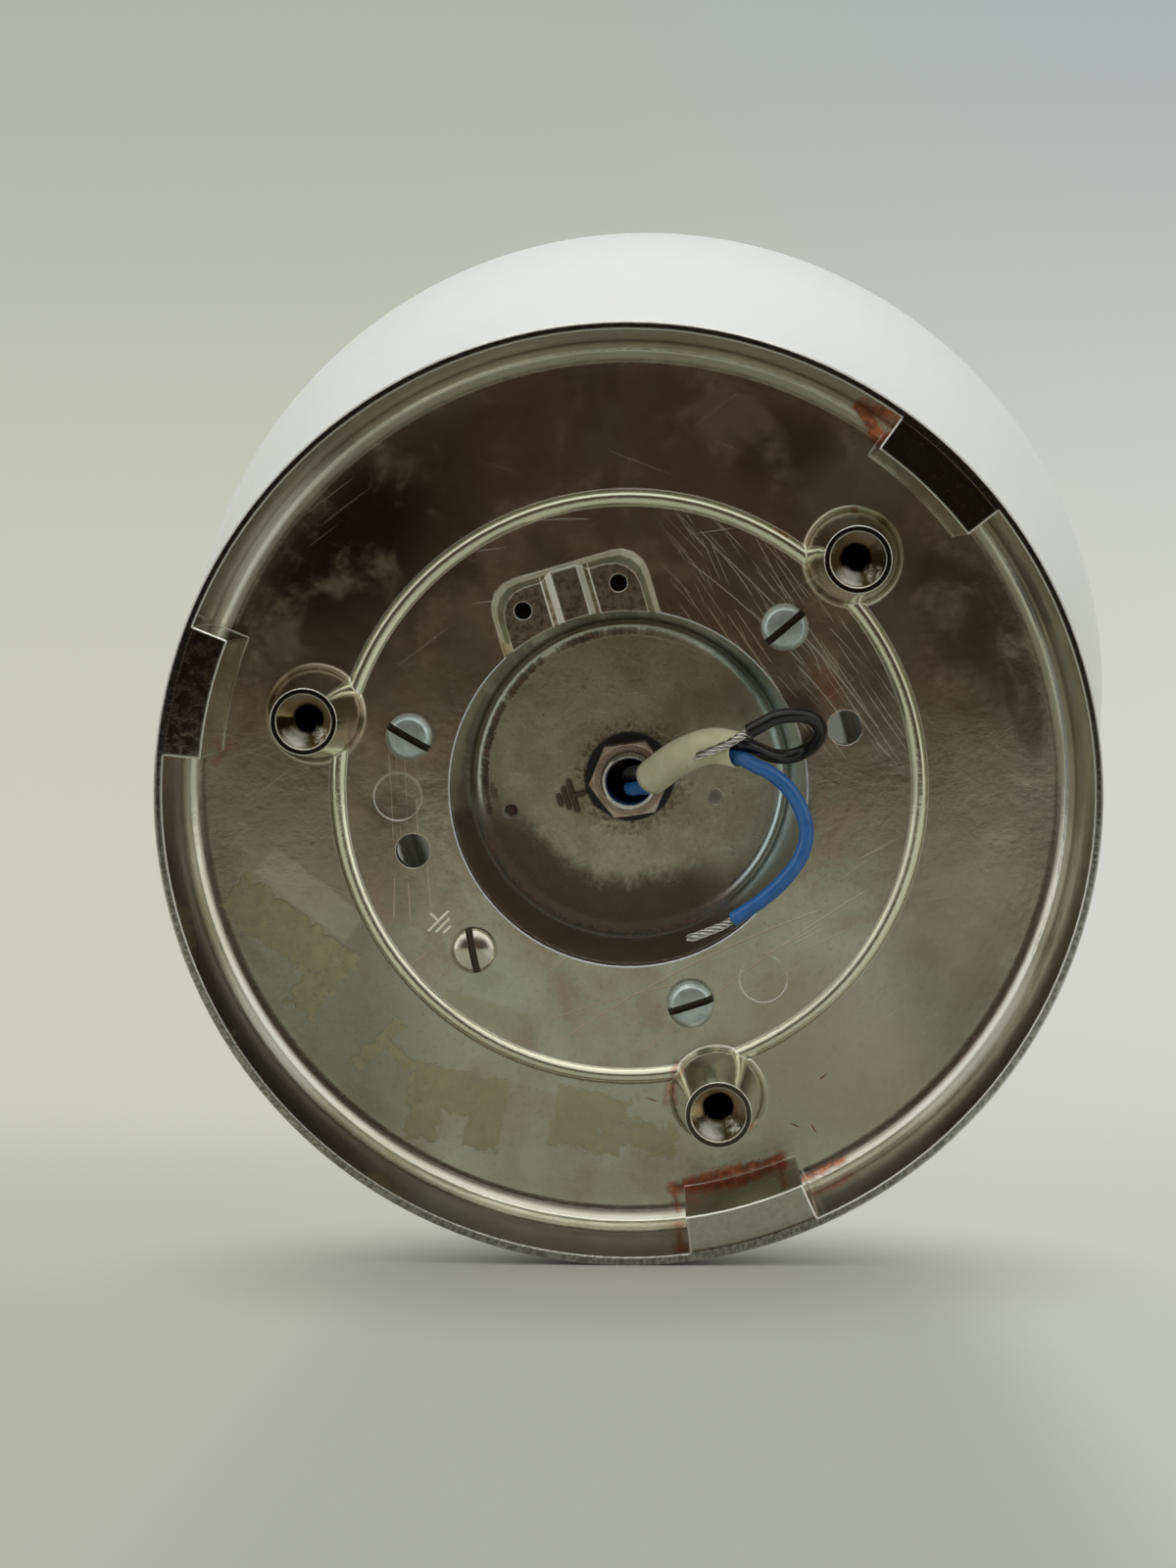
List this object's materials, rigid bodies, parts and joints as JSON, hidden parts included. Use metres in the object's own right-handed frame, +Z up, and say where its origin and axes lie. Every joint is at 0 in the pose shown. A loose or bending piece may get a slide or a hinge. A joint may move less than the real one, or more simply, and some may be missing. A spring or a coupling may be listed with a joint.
{
  "type": "wall lamp",
  "caption": "Wall or ceiling lamp with a round nickel-plated cast base, wiring well, E27 lampholder and teardrop opal-glass shade held by three grip screws.",
  "frame": {"origin": "centre of the round base in the plane of its rim, which is the wall plane", "axes": "+Y along the lamp axis away from the wall, +Z up, +X to the right as seen from the wall side"},
  "size_m": [0.23, 0.372, 0.23],
  "materials": {
    "nickel_casting": "tarnished nickel plate on zinc",
    "zinc_screw": "bright zinc plated",
    "nickel_screw": "nickel plated",
    "steel": "zinc plated",
    "dark_washer": "blackened",
    "bakelite": "polished",
    "porcelain": "glazed",
    "brass": "bright",
    "terminal": "nickel plated",
    "bulb_clear": "clear",
    "bulb_metal": "satin",
    "bulb_black": "glass insulator",
    "solder": "tinned",
    "stem_clear": "clear",
    "wire": "satin",
    "opal": "opal, glossy",
    "seal": "soft",
    "nickel_knob": "knurled, nickel plated",
    "soft_tip": "nylon",
    "cream_sleeve": "glass-fibre sleeve",
    "blue_pvc": "PVC",
    "black_pvc": "PVC",
    "tinned": "tinned copper"
  },
  "bodies": {
    "base": {"base_dish": "nickel_casting", "gallery_cup": "nickel_casting", "plate_screws": "zinc_screw", "earth_screw": "nickel_screw", "tube": "steel", "tube_washer": "dark_washer", "tube_nut": "steel", "tube_locknut": "steel", "lampholder_cap": "bakelite", "lampholder_insert": "porcelain", "lampholder_sleeve": "bakelite", "lampholder_shell": "brass", "centre_contact": "brass", "side_contact": "brass", "terminal_screws": "terminal", "shade_gasket": "seal", "lead_sleeve": "cream_sleeve", "blue_lead": "blue_pvc", "black_lead": "black_pvc", "blue_strands": "tinned", "black_strands": "tinned", "blue_lead_inner": "blue_pvc", "black_lead_inner": "black_pvc"},
    "shade": {"glass_shade": "opal"},
    "bulb_foot": {"bulb_contact": "solder"},
    "bulb": {"bulb_glass": "bulb_clear", "bulb_cap": "bulb_metal", "bulb_insulator": "bulb_black", "bulb_stem": "stem_clear", "bulb_filament": "wire"},
    "grip_1_tip": {"grip_tip_1": "soft_tip"},
    "grip_1": {"grip_screw_1": "nickel_knob"},
    "grip_2_tip": {"grip_tip_2": "soft_tip"},
    "grip_2": {"grip_screw_2": "nickel_knob"},
    "grip_3_tip": {"grip_tip_3": "soft_tip"},
    "grip_3": {"grip_screw_3": "nickel_knob"}
  },
  "joints": [
    {"name": "shade_pull", "type": "slide", "parent": "base", "child": "shade", "axis": [0, 1, 0], "range_m": [0, 0.16]},
    {"name": "bulb_travel", "type": "slide", "parent": "base", "child": "bulb_foot", "axis": [0, 1, 0], "range_m": [0, 0.0217]},
    {"name": "bulb_turn", "type": "hinge", "parent": "bulb_foot", "child": "bulb", "pos_m": [0, 0.08, 0], "axis": [0, 1, 0], "range_deg": [0, 2160]},
    {"name": "grip_1_travel", "type": "slide", "parent": "base", "child": "grip_1_tip", "axis": [0.9711, 0, -0.2385], "range_m": [0, 0.005]},
    {"name": "grip_1_turn", "type": "hinge", "parent": "grip_1_tip", "child": "grip_1", "pos_m": [0, 0.033, 0], "axis": [0.9711, 0, -0.2385], "range_deg": [0, 2575]},
    {"name": "grip_2_travel", "type": "slide", "parent": "base", "child": "grip_2_tip", "axis": [-0.6921, 0, -0.7218], "range_m": [0, 0.005]},
    {"name": "grip_2_turn", "type": "hinge", "parent": "grip_2_tip", "child": "grip_2", "pos_m": [0, 0.033, 0], "axis": [-0.6921, 0, -0.7218], "range_deg": [0, 2575]},
    {"name": "grip_3_travel", "type": "slide", "parent": "base", "child": "grip_3_tip", "axis": [-0.279, 0, 0.9603], "range_m": [0, 0.005]},
    {"name": "grip_3_turn", "type": "hinge", "parent": "grip_3_tip", "child": "grip_3", "pos_m": [0, 0.033, 0], "axis": [-0.279, 0, 0.9603], "range_deg": [0, 2575]}
  ],
  "couplings": [
    {"joint": "bulb_turn", "follows": "bulb_travel", "rad_per_m": 1731.4},
    {"joint": "grip_1_turn", "follows": "grip_1_travel", "rad_per_m": 8976},
    {"joint": "grip_2_turn", "follows": "grip_2_travel", "rad_per_m": 8976},
    {"joint": "grip_3_turn", "follows": "grip_3_travel", "rad_per_m": 8976}
  ]
}
